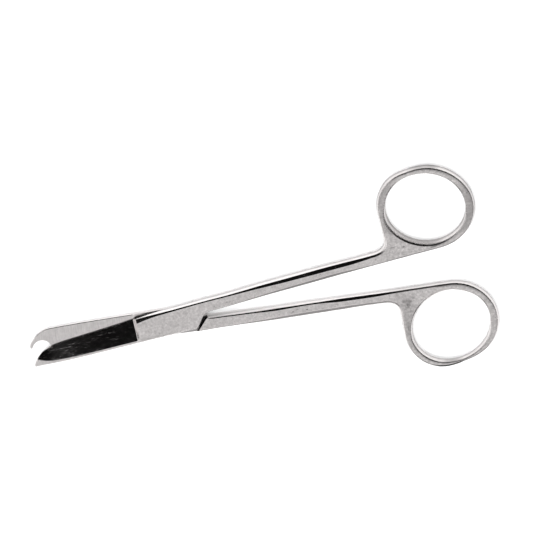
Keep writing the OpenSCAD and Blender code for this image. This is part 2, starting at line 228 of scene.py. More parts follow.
def stations(kind):
    """Every outline station of blade, plunge, joint and shank: outer and inner profile points, and the cap between."""
    rows = STRAIGHT_ROWS if kind == STRAIGHT else HOOKED_ROWS
    table = []
    for fe, ye, fs, ys, yb in rows:
        table.append([HEEL_X - BLADE_LEN * fe, ye, HEEL_X - BLADE_LEN * fs, ys, yb])
    n = 96
    par = [(i / n) ** 1.15 for i in range(n + 1)]
    if kind == HOOKED:          # the edge points lie close together on the hook, so go by the back
        t2 = [[r[2], r[3], r[0], r[1], r[4]] for r in table]
        fine = [[r[2], r[3], r[0], r[1], r[4]] for r in spline(t2, par)]
    else:
        fine = [list(r) for r in spline(table, par)]
    out = []
    for ex, ey, sx, sy, yb in fine:
        e, s = np.array([ex, ey]), np.array([sx, sy])
        w = (e - s) / np.linalg.norm(e - s)
        t = spine_t((HEEL_X - sx) / BLADE_LEN)
        u = (yb - sy) / (ey - sy)
        b = s + (e - s) * u
        far = (HEEL_X - sx) / BLADE_LEN
        slim = max(smooth(0.84, 0.92, far), 1 - smooth(0.04, 0.14, far))
        wide, low = (0.17 - 0.11 * slim, 0.11 * (1 - slim)) if kind == STRAIGHT else (0.30 - 0.2 * smooth(0.86, 0.99, far), 0.0)
        foot = EDGE_T - low
        g = min(wide / np.linalg.norm(e - s), 0.3)
        m = e + (s - e) * g
        zm = EDGE_T + 0.2
        if kind == STRAIGHT:        # the bevel keeps its slope to the blunt tip, so its rim stands high there
            zm += max(0.0, t - 0.24 * np.linalg.norm(b - m) - zm) * smooth(0.90, 0.965, far)
        rise = zm - foot
        # edge side: the fine bevel, the edge, and straight down
        lead = [(m, zm)]
        for i in range(1, NB):
            q = m + (e - m) * (0.06 * i / (NB - 1))
            lead.append((q, zm - rise * 0.06 * i / (NB - 1)))
        for q in (0.3, 0.5, 0.7):
            lead.append((m + (e - m) * q, zm - rise * q))
        lead += [(m + (e - m) * 0.94, foot + 0.06 * rise), (m + (e - m) * 0.985, foot + 0.01), (e, foot), (e, foot - 0.01)]
        lead += [(e, (foot - 0.01) * q) for q in (0.9, 0.75, 0.55, 0.35, 0.15, 0.0)]
        lead += [(e, -0.6 * (i + 1) / (NL - len(lead))) for i in range(NL - len(lead))]
        prof = flank(0.05, 0.06, 0.03, t, -0.6, 0.02, 0.02)
        prof[NHALF - 2] = (0.0, 0.15)        # a small break towards the ground inner face
        prof[NHALF - 1:] = [(0.15, z) for _, z in prof[NHALF - 1:]]
        back = [(s + w * q, z) for q, z in prof]
        m2, s2 = lead[0][0], back[0][0]
        ub = float(np.clip(np.dot(b - m2, s2 - m2) / np.dot(s2 - m2, s2 - m2), 0.3, 0.97))
        cap = []
        for q in cap_shares(ub):
            z = zm + (t - zm) * q / ub if q < ub else t
            cap.append((m2 + (s2 - m2) * q, z))
        out.append((lead, cap, back))
    # joint and shank
    def plain(po, pi, no, ni, x0, x1):
        h = body_h(x0)
        oc, ic = out_c(x0, kind), in_c(x1, kind)
        od = 0.12 + 0.33 * smooth(14, 34, x0) if kind == STRAIGHT else 0.43
        idr = (0.06 if x1 < 5.5 else 0.02) if x1 < 9.6 else 0.04 + 0.16 * smooth(12, 26, x1)
        ik = 0.12 if x1 < 9.6 else max(0.1, ic * 0.56)
        lobe = smooth(5.2, 6.2, x1) * (1 - smooth(9.3, 10.2, x1))
        bow = 1.7 if kind == STRAIGHT else 1.3
        lead = [(po - no * s, z) for s, z in flank(oc, max(0.1, oc * 0.48), od, h, -h, 0.06, 0.07, bow)]
        back = [(pi - ni * s, z) for s, z in flank(max(ic, 0.12) - 0.07 * lobe, ik - 0.07 * lobe, idr, body_h(x1), -body_h(x1), 0.05, 0.06)]
        a, b = lead[0][0], back[0][0]
        za, zb = lead[0][1], back[0][1]
        cap = [(a + (b - a) * q, za + (zb - za) * q) for q in cap_shares(0.86)]
        return lead, cap, back
    jp = spline([[xi, yi, xo] for xo, xi, yi in JOINT_INNER], [i / 76 for i in range(77)])
    inner = [np.array(p[:2]) for p in jp]
    outer = [np.array([p[2], out_y(p[2], kind)]) for p in jp]
    xs = [12 + (WEB_X - 12) * (i + 1) / 120 for i in range(120)]
    outer += [np.array([x, out_y(x, kind)]) for x in xs]
    inner += [np.array([x, in_y(x)]) for x in xs]

    def normals(pts, sign):
        res = []
        for i in range(len(pts)):
            d = pts[min(i + 1, len(pts) - 1)] - pts[max(i - 1, 0)]
            d = d / np.linalg.norm(d)
            res.append(np.array([-d[1], d[0]]) * sign)
        return res
    no, ni = normals(outer, 1), normals(inner, -1)
    body = [plain(o, i, a, b, o[0], i[0]) for o, i, a, b in zip(outer, inner, no, ni)]
    # the plunge of the grinding wheel between blade and joint: a hollow that ends in a crisp edge
    last, first = out[-1], body[0]
    steps = []
    for k in range(1, 12):
        u = k / 12
        g = smooth(0, 1, u)
        v = max(0.0, (u - 0.1) / 0.9)
        rise = v * v / (v + 0.1) * 1.1
        def mix(A, B):
            return [(a[0] + (b[0] - a[0]) * u, a[1] + (b[1] - a[1]) * rise) for a, b in zip(A, B)]
        steps.append((mix(last[0], first[0]), mix(last[1], first[1]), mix(last[2], first[2])))
    return out + steps + body, len(out), len(steps)


def forging(kind):
    """One half's outside as a closed mesh: vertices in mm in its own frame, faces, and a material number per face."""
    st, n_blade, n_plunge = stations(kind)
    S = len(st)
    lastx = WEB_X
    # outline of web and ring after the last shank station, with the hole's angle for each point
    web_out = [[WEB_X, out_y(WEB_X, kind), T_LEFT + 62], [WEB_X + 1.6, 3.44, T_LEFT + 57], [WEB_X + 2.7, 3.7, T_LEFT + 51],
               [LEFT_X - 0.95, 4.22, T_LEFT + 45], [LEFT_X - 0.45, 4.9, T_LEFT + 38], [LEFT_X - 0.2, 5.8, T_LEFT + 31],
               [LEFT_X - 0.12, 7.0, T_LEFT + 24], [LEFT_X - 0.07, 8.4, T_LEFT + 16], [LEFT_X - 0.02, 10.0, T_LEFT + 8],
               list(rim_pt(kind, T_LEFT)) + [T_LEFT]]
    pre = [WEB_X - 1.0, out_y(WEB_X - 1.0, kind), T_LEFT + 65.5]
    post = list(rim_pt(kind, T_LEFT - 4)) + [T_LEFT - 4]
    fine = spline([pre] + web_out + [post], [i / 92 for i in range(93)])
    rim = [(np.array(p[:2]), p[2]) for p in fine if p[0] > WEB_X + 0.02 and p[2] > T_LEFT + 0.5]
    nweb = len(rim)
    SW = 250
    for i in range(SW + 1):
        t = T_LEFT - (T_LEFT + 360 - T_LOW) * i / SW
        rim.append((np.array(rim_pt(kind, t)), t))
    nring = len(rim)
    for i in range(34):
        u = i / 34
        x = LOW_X - 2 - (LOW_X - 2 - WEB_X) * u
        if i == 0:
            continue
        rim.append((np.array([x, 0.15 + 0.07 * u + 0.02 * math.sin(math.pi * u)]), T_LOW - 4 - 24 * u))
    M = len(rim)
    # unwrap the angles so that they fall steadily round the ring
    ang = []
    for i, (_, t) in enumerate(rim):
        ang.append(t if i < nring else t - 360)
    ang = np.array(ang)
    hole_first, hole_last = T_LEFT + 62, T_LOW - 30 - 360
    pts = [st[-1][0]]            # placeholder for indexing only
    outer_prof = []
    P = [r[0] for r in rim]
    p_prev = np.array([WEB_X - 0.3, out_y(WEB_X - 0.3, kind)])
    p_next = np.array([WEB_X - 0.3, in_y(WEB_X - 0.3)])
    for i in range(M):
        a = P[i - 1] if i else p_prev
        b = P[i + 1] if i < M - 1 else p_next
        d = (b - a) / np.linalg.norm(b - a)
        nrm = np.array([-d[1], d[0]])
        x = P[i][0]
        face = float(nrm @ TOPWARD[kind])
        thin = 1 - 0.35 * curve(SLIM[kind], rim[i][1])
        # the side is upright where it looks left or right, and rounder above and below
        rc = (0.15 + 0.08 * smooth(0.2, 0.7, face)) * thin + (0.05 if kind == STRAIGHT else 0.2) * (1 - smooth(-0.9, -0.5, face))
        rd = 0.34 * thin + 0.11 * smooth(0.3, 0.75, face)
        if i < nweb:
            u = (i + 1) / nweb
            e = smooth(0.2, 1, u)
            c, k, dr = 0.48 * (1 - e) + rc * e, 0.24 - 0.09 * e, 0.45 * (1 - e) + rd * e
            r0, r1 = 0.06 + 0.03 * u, 0.07 + 0.02 * u
            bow = 1.7 - 0.4 * u
        elif i < nring:
            v = (i - nweb) / SW
            g = smooth(0.78, 1.0, v)
            c, k, dr = rc + (0.30 - rc) * g, 0.15 + 0.07 * g, rd + (0.2 - rd) * g
            r0, r1 = 0.07, 0.07
            bow = 1.3 + 0.4 * g
        else:
            v = (i - nring) / (M - nring)
            c, k, dr = (in_c(x, HOOKED), 0.22 + 0.09 * v, 0.2) if kind == HOOKED else (0.30 - 0.02 * v, 0.22 - 0.06 * v, 0.2)
            r0, r1 = 0.09 - 0.03 * v, 0.09 - 0.02 * v
            bow = 1.7
        outer_prof.append([(P[i] - nrm * s, z) for s, z in flank(c, k, dr, BAR_H, -BAR_H, r0, r1, bow)])
    # the hole's stations: one for each rim station plus the two of the shank's end
    hole_ang = [hole_first] + list(ang) + [hole_last]
    hole_prof = []
    for t in hole_ang:
        tr = math.radians(t)
        p = np.array(ring_pt(HOLE_A, HOLE_B, tr))
        q = np.array([math.cos(tr) / HOLE_A * math.cos(LEAN) + math.sin(tr) / HOLE_B * math.sin(LEAN),
                      -math.cos(tr) / HOLE_A * math.sin(LEAN) + math.sin(tr) / HOLE_B * math.cos(LEAN)])
        q /= np.linalg.norm(q)
        w = smooth(0.3, 0.85, math.cos(math.radians(t - 247)))
        look = -float(q @ TOPWARD[kind])
        face, under = smooth(0.0, 0.5, look), 1 - smooth(-0.8, -0.2, look)
        thin = 1 - 0.3 * curve(SLIM[kind], (t + 180) % 360 - 180)
        # a crisp corner below, a wide rounded one above and beside
        hc = (0.30 - 0.10 * face) * thin + (0.18 * w * face if kind == STRAIGHT else -0.08 * smooth(0.88, 1.0, look))
        hk = 0.07 + 0.09 * face + 0.22 * under
        hd = (0.12 + 0.36 * face) * thin + 0.34 * w
        hole_prof.append([(p + q * s, z) for s, z in flank(hc, hk, hd, BAR_H, -BAR_H, 0.09, 0.09, 1.15)])
    verts, faces, mats = [], [], []

    def add(profile):
        base = len(verts)
        verts.extend([(p[0][0], p[0][1], p[1]) for p in profile])
        return base
    SIDE, FACE, BEVEL, FINE, BACKF = 0, 1, 2, 3, 1
    lead_i = [add(s[0]) for s in st]
    rim_i = [add(p) for p in outer_prof]
    back_i = [add(s[2]) for s in st]
    hole_i = [add(p) for p in hole_prof]
    loop = lead_i + rim_i + back_i[::-1]
    m = len(loop)
    for i in range(m):
        a, b = loop[i], loop[(i + 1) % m]
        blade = i < n_blade + n_plunge - 1
        for l in range(NL - 1):
            if i == m - 1 and l in (0, NL - 2):
                continue        # the tip's end meets the caps there, and is closed below
            faces.append((a + l, b + l, b + l + 1, a + l + 1))
            mats.append(FINE if blade and l < 10 else SIDE)
    H = len(hole_i)
    for k in range(H - 1):
        a, b = hole_i[k], hole_i[k + 1]
        for l in range(NL - 1):
            faces.append((a + l + 1, b + l + 1, b + l, a + l))
            mats.append(SIDE)
    a, b = hole_i[-1], hole_i[0]
    for l in range(NL - 1):
        faces.append((a + l + 1, b + l + 1, b + l, a + l))
        mats.append(SIDE)
    # caps between the two sides of blade, joint and shank
    def cap_inner(points):
        base = len(verts)
        verts.extend([(p[0][0], p[0][1], p[1]) for p in points])
        return base
    ncap = KT + 1
    top = []
    bot = []
    for i, s in enumerate(st):
        c = s[1]
        ids = [lead_i[i]] + [cap_inner([c[j]]) for j in range(1, len(c) - 1)] + [back_i[i]]
        top.append(ids)
        lo_a, lo_b = s[0][-1], s[2][-1]
        n2 = 6
        mid = [((lo_a[0] + (lo_b[0] - lo_a[0]) * j / n2), lo_a[1] + (lo_b[1] - lo_a[1]) * j / n2) for j in range(1, n2)]
        bot.append([lead_i[i] + NL - 1] + [cap_inner([q]) for q in mid] + [back_i[i] + NL - 1])
    for i in range(S - 1):
        t0, t1 = top[i], top[i + 1]
        n = len(t0) - 1
        for j in range(n):
            faces.append((t0[j], t0[j + 1], t1[j + 1], t1[j]))
            if i < n_blade + n_plunge - 1:
                mats.append(BEVEL if j < KB else FACE)
                if i >= n_blade - 1:
                    mats[-1] = BEVEL
            else:
                mats.append(FACE)
        b0, b1 = bot[i], bot[i + 1]
        for j in range(len(b0) - 1):
            faces.append((b0[j], b1[j], b1[j + 1], b0[j + 1]))
            mats.append(BACKF)
    faces.append(tuple(top[0] + [back_i[0] + 1, lead_i[0] + 1]))
    faces.append(tuple(bot[0] + [back_i[0] + NL - 2, lead_i[0] + NL - 2]))
    mats += [SIDE, SIDE]
    # caps between rim and hole
    rim_all = [(lead_i[-1], st[-1][0])] + list(zip(rim_i, outer_prof)) + [(back_i[-1], st[-1][2])]
    NC = 7
    shares = [0, 0.05, 0.2, 0.4, 0.6, 0.8, 0.95, 1]
    def strip(level, z_sign):
        lines = []
        for (ri, rp), (hi, hp) in zip(rim_all, zip(hole_i, hole_prof)):
            a, b = rp[level], hp[level]
            ids = [ri + (level % NL)]
            for q in shares[1:-1]:
                pt = a[0] + (b[0] - a[0]) * q
                wide = float(np.linalg.norm(b[0] - a[0]))
                crown = 0.05 * min(wide, 1.4) * 4 * q * (1 - q) * (1 - smooth(1.5, 3.0, wide))
                ids.append(cap_inner([(pt, a[1] + (b[1] - a[1]) * q + z_sign * crown)]))
            ids.append(hi + (level % NL))
            lines.append(ids)
        return lines
    T, B = strip(0, 1), strip(NL - 1, -1)
    for k in range(len(T) - 1):
        for j in range(NC):
            faces.append((T[k][j], T[k][j + 1], T[k + 1][j + 1], T[k + 1][j]))
            mats.append(FACE)
            faces.append((B[k][j], B[k + 1][j], B[k + 1][j + 1], B[k][j + 1]))
            mats.append(BACKF)
    # the last field between the shank's end and the hole
    def field(L, end, flip):
        # end: ids across the shank's end from the outer to the inner side
        a, b = L[0], L[-1]          # outer line and inner line, both run to the hole
        poly = end + b[1:] + a[1:][::-1]
        faces.append(tuple(poly) if flip else tuple(poly[::-1]))
        mats.append(FACE)
    field(T, top[-1], True)
    field(B, bot[-1], False)
    return np.array(verts, float), faces, mats


def to_mesh(name, verts, faces, mats, slots):
    me = bpy.data.meshes.new(name)
    me.from_pydata([tuple(v) for v in verts], [], faces)
    for s in slots:
        me.materials.append(s)
    me.polygons.foreach_set("material_index", np.array(mats, np.int32))
    me.update()
    bm = bmesh.new()
    bm.from_mesh(me)
    bmesh.ops.remove_doubles(bm, verts=bm.verts, dist=1e-7)
    bmesh.ops.recalc_face_normals(bm, faces=bm.faces)
    bm.to_mesh(me)
    bm.free()
    ob = bpy.data.objects.new(name, me)
    bpy.context.scene.collection.objects.link(ob)
    return ob


def prism(name, polygon, z0, z1, slots, mat, lean=0.0):
    n = len(polygon)
    v = [(x + lean, y, z0) for x, y in polygon] + [(x, y, z1) for x, y in polygon]
    f = [tuple(range(n))[::-1], tuple(range(n, 2 * n))] + [(i, (i + 1) % n, n + (i + 1) % n, n + i) for i in range(n)]
    return to_mesh(name, v, f, [mat] * len(f), slots)


def lathe(name, profile, slots, mat, n=160, cx=0.0, cy=0.0):
    """A closed solid turned about Z from (radius, height) points that start and end on the axis."""
    v, f, rings = [], [], []
    for r, z in profile:
        if r < 1e-9:
            rings.append([len(v)])
            v.append((cx, cy, z))
        else:
            rings.append(list(range(len(v), len(v) + n)))
            v += [(cx + r * math.cos(2 * math.pi * i / n), cy + r * math.sin(2 * math.pi * i / n), z) for i in range(n)]
    for a, b in zip(rings, rings[1:]):
        for i in range(n):
            j = (i + 1) % n
            if len(a) == 1:
                f.append((a[0], b[i], b[j]))
            elif len(b) == 1:
                f.append((a[i], b[0], a[j]))
            else:
                f.append((a[i], b[i], b[j], a[j]))
    return to_mesh(name, v, f, [mat] * len(f), slots)


def cut(ob, tool):
    mod = ob.modifiers.new("cut", "BOOLEAN")
    mod.operation, mod.solver, mod.object = "DIFFERENCE", "EXACT", tool
    bpy.context.view_layer.update()
    dg = bpy.context.evaluated_depsgraph_get()
    me = bpy.data.meshes.new_from_object(ob.evaluated_get(dg), preserve_all_data_layers=False, depsgraph=dg)
    ob.modifiers.clear()
    old = ob.data
    ob.data = me
    bpy.data.meshes.remove(old)
    bpy.data.objects.remove(tool)
    return ob


# ------------------------------------------------------------------ materials
class Graph:
    def __init__(self, name):
        self.mat = bpy.data.materials.new(name)
        self.mat.use_nodes = True
        self.t = self.mat.node_tree
        self.t.nodes.clear()
        self.n = 0

    def node(self, kind, **values):
        nd = self.t.nodes.new(kind)
        nd.location = (self.n % 12 * 190, -(self.n // 12) * 260)
        self.n += 1
        for k, v in values.items():
            if k.startswith("_"):
                setattr(nd, k[1:], v)
                continue
            sock = nd.inputs[int(k[1:])] if k[0] == "i" and k[1:].isdigit() else nd.inputs[k.replace("__", " ")]
            if isinstance(v, bpy.types.NodeSocket):
                self.t.links.new(v, sock)
            else:
                sock.default_value = v
        return nd

    def math(self, op, a, b=0.0, c=0.0, clamp=False):
        nd = self.node("ShaderNodeMath", _operation=op, _use_clamp=clamp, i0=a, i1=b)
        if op in ("MULTIPLY_ADD", "COMPARE", "SMOOTH_MIN", "SMOOTH_MAX"):
            if isinstance(c, bpy.types.NodeSocket):
                self.t.links.new(c, nd.inputs[2])
            else:
                nd.inputs[2].default_value = c
        return nd.outputs[0]

    def remap(self, v, a, b, c, d, kind="SMOOTHSTEP"):
        nd = self.node("ShaderNodeMapRange", _interpolation_type=kind, Value=v)
        for k, x in zip(("From Min", "From Max", "To Min", "To Max"), (a, b, c, d)):
            nd.inputs[k].default_value = x
        return nd.outputs[0]

    def stretch(self, v, scale, turn=(0, 0, 0), shift=(0, 0, 0)):
        return self.node("ShaderNodeMapping", Vector=v, Scale=scale, Rotation=tuple(math.radians(x) for x in turn), Location=shift).outputs[0]

    def noise(self, v, scale, detail=4.0, rough=0.55, kind="FBM", distortion=0.0):
        return self.node("ShaderNodeTexNoise", Vector=v, Scale=scale, Detail=detail, Roughness=rough, Distortion=distortion).outputs[0]

    def mix(self, f, a, b, blend="MIX"):
        nd = self.node("ShaderNodeMix", _data_type="RGBA", _blend_type=blend)
        for k, x in ((0, f), (6, a), (7, b)):
            if isinstance(x, bpy.types.NodeSocket):
                self.t.links.new(x, nd.inputs[k])
            else:
                nd.inputs[k].default_value = x
        return nd.outputs[2]

    def spot(self, v, x, y, rx, ry, wob=None, edge=0.6):
        """1 inside an oval at x, y (mm in the half's frame), falling to 0 outside, with a ragged rim."""
        p = self.stretch(v, (1 / rx, 1 / ry, 0.0), shift=(-x / rx, -y / ry, 0))
        ln = self.node("ShaderNodeVectorMath", _operation="LENGTH", i0=p).outputs[1]
        if wob is not None:
            ln = self.math("MULTIPLY_ADD", wob, 1.4, self.math("ADD", ln, -0.7))
        return self.remap(ln, edge, 1.0, 1.0, 0.0)

    def largest(self, items):
        out = items[0]
        for i in items[1:]:
            out = self.math("MAXIMUM", out, i)
        return out


def half_coords(g, kind):
    """The point in the half's own frame, in mm."""
    o = g.node("ShaderNodeTexCoord").outputs["Object"]
    a = -OPEN / 2
    m = Matrix.Rotation(math.radians(a), 3, "Z")
    turn = (0.0, 0.0, a)
    if kind == HOOKED:
        m = m @ Matrix.Rotation(math.pi, 3, "X")
        turn = (180.0, 0.0, a)
    sh = -(m @ (PIVOT * 1000))
    return g.stretch(o, (1000, 1000, 1000), turn=turn, shift=tuple(sh))


STEEL = (0.628, 0.602, 0.597, 1)
PITS = {STRAIGHT: [(14.83, 1.36, 0.26, 0.13, 0.55), (19.44, 2.75, 0.3, 0.12, 0.5), (60.1, 3.05, 0.24, 0.2, 0.7), (57.6, 3.6, 0.9, 0.12, 0.3),
                   (27.2, 1.0, 0.14, 0.1, 0.4), (-3.2, -1.9, 0.2, 0.14, 0.25)],
        HOOKED: [(30.08, 1.72, 0.34, 0.15, 0.6), (31.2, 1.35, 0.3, 0.09, 0.5), (33.55, 1.63, 0.26, 0.17, 0.85), (41.0, 1.5, 0.5, 0.1, 0.3),
                 (57.6, 3.1, 0.8, 0.5, 0.3), (58.5, 3.5, 0.6, 0.45, 0.38), (58.1, 4.3, 0.5, 0.6, 0.5), (57.5, 4.8, 0.3, 0.9, 0.2),
                 (57.2, 7.6, 0.3, 1.6, 0.12), (57.6, 10.6, 0.3, 0.9, 0.4), (57.9, 12.2, 0.3, 0.7, 0.45), (59.6, 2.6, 0.5, 0.3, 0.25)]}


def steel(name, kind, look):
    """Stainless steel in one of its finishes."""
    g = Graph(name)
    p = half_coords(g, kind)
    xyz = g.node("ShaderNodeSeparateXYZ", Vector=p).outputs
    fine = g.noise(p, 3.2, 6.0, 0.62)
    cell = g.noise(g.stretch(p, (1, 1, 1), shift=(31, 5, 2)), 1.7, 2.0, 0.5)
    broad = g.noise(p, 0.35, 3.0, 0.5)
    cloud = g.noise(g.stretch(p, (1, 1, 1), shift=(7, 3, 1)), 1.1, 4.0, 0.6)
    along = g.noise(g.stretch(p, (0.16, 7.0, 7.0)), 1.0, 3.0, 0.6)
    rough = {"satin": 0.36, "side": 0.13, "bevel": 0.09, "edge": 0.14, "lap": 0.34, "bore": 0.30, "screw": 0.28}[look]
    tint = g.remap(broad, 0.3, 0.7, 0.96, 1.04)
    ring = g.remap(xyz[0], 50.0, 57.0, 0.0, 1.0)
    # how far a place on the ring lies to the left or right of its middle; sides is painted shade that darkens the
    # ring's left and right parts
    turn_x, turn_y = (0.962, -0.272) if kind == STRAIGHT else (0.989, 0.150)
    radial = g.node("ShaderNodeVectorMath", _operation="NORMALIZE", i0=g.stretch(p, (1, 1, 0), shift=(-RING_X, -RING_Y, 0))).outputs[0]
    across = g.node("ShaderNodeVectorMath", _operation="DOT_PRODUCT", i0=radial, i1=(turn_x, turn_y, 0)).outputs["Value"]
    right = g.math("MULTIPLY", g.remap(across, 0.72, 0.97, 0.0, 1.0), g.remap(xyz[0], 60.0, 66.0, 0.0, 0.25 if kind == STRAIGHT else 0.02))
    left = g.math("MULTIPLY", g.remap(across, -0.97, -0.72, 1.0, 0.0), g.remap(xyz[0], 55.5, 57.5, 0.0, 0.20 if kind == STRAIGHT else 0.17))
    sides = g.math("SUBTRACT", 1.0, g.math("ADD", left, right))
    if look == "satin":
        # scratches of the brushing belt, mottled ground, small pits
        hair_a = g.noise(g.stretch(p, (0.5, 10.0, 1.0), turn=(0, 0, 24)), 1.0, 2.0, 0.75)
        hair_b = g.noise(g.stretch(p, (0.6, 12.0, 1.0), turn=(0, 0, -58), shift=(9, 4, 0)), 1.0, 2.0, 0.75)
        vor = g.node("ShaderNodeTexVoronoi", Vector=g.stretch(p, (1, 1, 0.3)), Scale=0.85)
        size = g.math("MULTIPLY_ADD", g.node("ShaderNodeSeparateColor", Color=vor.outputs["Color"]).outputs[0], 0.30, -0.18)
        pit = g.remap(g.math("SUBTRACT", vor.outputs["Distance"], size), 0.0, 0.07, 1.0, 0.0)
        marks = g.math("MULTIPLY", pit, 0.55)
        wob = g.noise(g.stretch(p, (1, 1, 1), shift=(2, 8, 0)), 3.0, 4.0, 0.6)
        for x, y, rx, ry, depth in PITS[kind]:
            marks = g.math("MAXIMUM", marks, g.math("MULTIPLY", g.spot(p, x, y, rx * 1.5, ry * 1.5, wob, 0.25), depth))
        grain = g.math("MULTIPLY_ADD", fine, 0.75, g.math("MULTIPLY", along, 0.35))
        bump_h = g.math("MULTIPLY_ADD", marks, -1.6, grain)
        bump_d = 1.7e-5
        rv = g.math("ADD", g.remap(cloud, 0.3, 0.75, rough - 0.05, rough + 0.09), g.math("MULTIPLY", marks, 0.15))
        tint = g.math("MULTIPLY", tint, g.remap(fine, 0.32, 0.72, 0.85, 1.06))
        tint = g.math("MULTIPLY", tint, g.remap(cell, 0.3, 0.72, 0.86, 1.05))
        spots = g.noise(g.stretch(p, (1, 1, 1), shift=(12, 21, 4)), 1.4, 3.0, 0.55)
        tint = g.math("MULTIPLY", tint, g.math("MULTIPLY_ADD", ring, g.remap(spots, 0.36, 0.64, -0.13, 0.10), 1.0))
        tint = g.math("MULTIPLY", tint, g.remap(hair_a, 0.62, 0.8, 1.0, 0.88))
        tint = g.math("MULTIPLY", tint, g.remap(hair_b, 0.64, 0.8, 1.0, 1.10))
        # painted shade: the ring's left and right parts of the face are darkened
        tint = g.math("MULTIPLY", tint, sides)
        tint = g.math("MULTIPLY", tint, g.math("MULTIPLY_ADD", marks, -0.8, 1.0))
    elif look == "side":
        grain = g.math("MULTIPLY_ADD", along, 0.7, g.math("MULTIPLY", cloud, 0.5))
        # painted shade: a darker band along the middle of the side wall, from the joint to the ring, painted reflection
        # of the floor in the scissors' shadow; the band is also a little rougher
        parting_line_shade = g.remap(g.math("ABSOLUTE", xyz[2]), 0.25, 0.95, 1.0, 0.0)
        parting_line_shade = g.math("MULTIPLY", parting_line_shade, g.remap(xyz[0], -9.5, -8.0, 0.0, 1.0))
        bump_h, bump_d = grain, 4.5e-6
        rv = g.math("ADD", g.remap(along, 0.25, 0.8, rough - 0.04, rough + 0.10), g.math("MULTIPLY", ring, 0.12))
        rv = g.math("MULTIPLY_ADD", parting_line_shade, 0.12, rv)
        tint = g.math("MULTIPLY", tint, g.math("MULTIPLY_ADD", parting_line_shade, -0.46 if kind == STRAIGHT else -0.34, 1.0))
        # painted shade: the outer wall on the ring's far side is darkened (the top of the straight ring, the bottom of
        # the hooked ring, there almost to black)
        outer = g.math("MULTIPLY", g.remap(g.math("ABSOLUTE", across), 0.2, 0.5, 1.0, 0.0), g.remap(xyz[1], RING_Y + 8.5, RING_Y + 9.5, 0.0, 1.0))
        tint = g.math("MULTIPLY", tint, g.math("MULTIPLY_ADD", outer, -0.36 if kind == STRAIGHT else -0.9, 1.0))
        tint = g.math("MULTIPLY", tint, g.remap(along, 0.3, 0.7, 0.93, 1.05))
        tint = g.math("MULTIPLY", tint, g.math("MULTIPLY_ADD", ring, -0.14, 1.0))
        # painted shade: the ring's left and right walls are darkened
        tint = g.math("MULTIPLY", tint, sides)
    elif look == "bevel":
        hair = g.noise(g.stretch(p, (0.45, 7.0, 1.0), turn=(0, 0, -38)), 1.0, 3.0, 0.75)
        hair2 = g.noise(g.stretch(p, (0.3, 9.0, 1.0), turn=(0, 0, -24), shift=(5, 3, 0)), 1.0, 2.0, 0.75)
        hair = g.math("MAXIMUM", hair, g.math("ADD", hair2, -0.02))
        worn = g.remap(xyz[0], -33.0, -18.0, 1.0, 0.5)
        line = g.math("MULTIPLY", g.remap(hair, 0.56, 0.76, 0.0, 1.0), worn)
        grain = g.math("MULTIPLY_ADD", hair, 0.8, g.math("MULTIPLY", fine, 0.15))
        bump_h, bump_d = grain, 2.6e-6
        rv = g.math("MULTIPLY_ADD", line, 0.42, rough)
        tint = g.math("MULTIPLY_ADD", line, 0.35, tint)
        # the hollow before the joint is duller, and painted shade makes it darker towards the back
        hollow = g.remap(xyz[0], -8.95, -8.65, 0.0, 1.0)
        rv = g.math("MULTIPLY_ADD", hollow, 0.16, rv)
        tint = g.math("MULTIPLY", tint, g.math("MULTIPLY_ADD", hollow, g.remap(xyz[1], -2.9, -0.8, -0.35, 0.0), 1.0))
    elif look == "edge":
        hair = g.noise(g.stretch(p, (2.2, 6.0, 1.0), turn=(0, 0, 80)), 1.0, 3.0, 0.7)
        # painted shade: the foot of the cutting edge, against the other blade, is darkened into a dark line
        dirt_and_painted_shade = g.remap(xyz[2], 0.10, 0.17, 0.35, 1.0)
        bump_h, bump_d = hair, 3e-6
        rv = g.remap(hair, 0.3, 0.7, rough - 0.03, rough + 0.08)
        tint = g.math("MULTIPLY", tint, dirt_and_painted_shade)
    elif look == "lap":
        cross = g.noise(g.stretch(p, (3.4, 0.22, 1.0), turn=(0, 0, 2)), 1.0, 3.0, 0.6)
        arcs = g.noise(g.stretch(p, (1.6, 0.5, 1.0), turn=(0, 0, 30)), 2.0, 2.0, 0.6)
        # the shoulder's wall, the lap face along the shoulder and a strip by the joint's outer edge are darkened:
        # partly grime in the joint's corners, partly painted shade of the gap and a painted shadow of the other half
        wall = g.remap(xyz[2], -0.12, 0.0, 1.0, 0.0)
        line = g.math("MULTIPLY_ADD", xyz[1], 0.625, g.math("MULTIPLY", xyz[0], 0.782))
        near = g.math("MULTIPLY", g.remap(line, 5.75, 6.6, 0.0, 1.0), g.remap(xyz[1], -0.3, 0.3, 0.0, 1.0))
        near = g.math("MULTIPLY", near, g.remap(fine, 0.25, 0.5, 0.75, 1.0))
        near = g.math("MULTIPLY", near, g.remap(xyz[1], 2.35, 2.75, 1.0, 0.42))
        foot = g.math("MULTIPLY", g.remap(xyz[1], 2.55, 2.9, 0.0, 0.42), g.remap(xyz[0], -2.0, 1.0, 0.0, 1.0))
        near = g.math("MAXIMUM", near, foot)
        wall = g.math("MULTIPLY", wall, g.remap(xyz[1], 0.35, 0.7, 0.35, 1.0))
        dirt_and_painted_shade = g.math("MAXIMUM", g.math("MULTIPLY", wall, g.remap(fine, 0.3, 0.6, 0.8, 1.0)), near)
        grain = g.math("MULTIPLY_ADD", cross, 0.7, g.math("MULTIPLY", fine, 0.3))
        bump_h, bump_d = grain, 1.1e-5
        joint = g.remap(xyz[0], -9.4, -8.6, 0.0, 1.0)
        rv = g.math("ADD", g.remap(cross, 0.3, 0.75, rough - 0.04, rough + 0.06), g.math("MULTIPLY", joint, -0.12))
        rv = g.math("MULTIPLY_ADD", dirt_and_painted_shade, 0.3, rv)
        tint = g.math("MULTIPLY", tint, g.remap(cross, 0.3, 0.7, 0.80, 0.98))
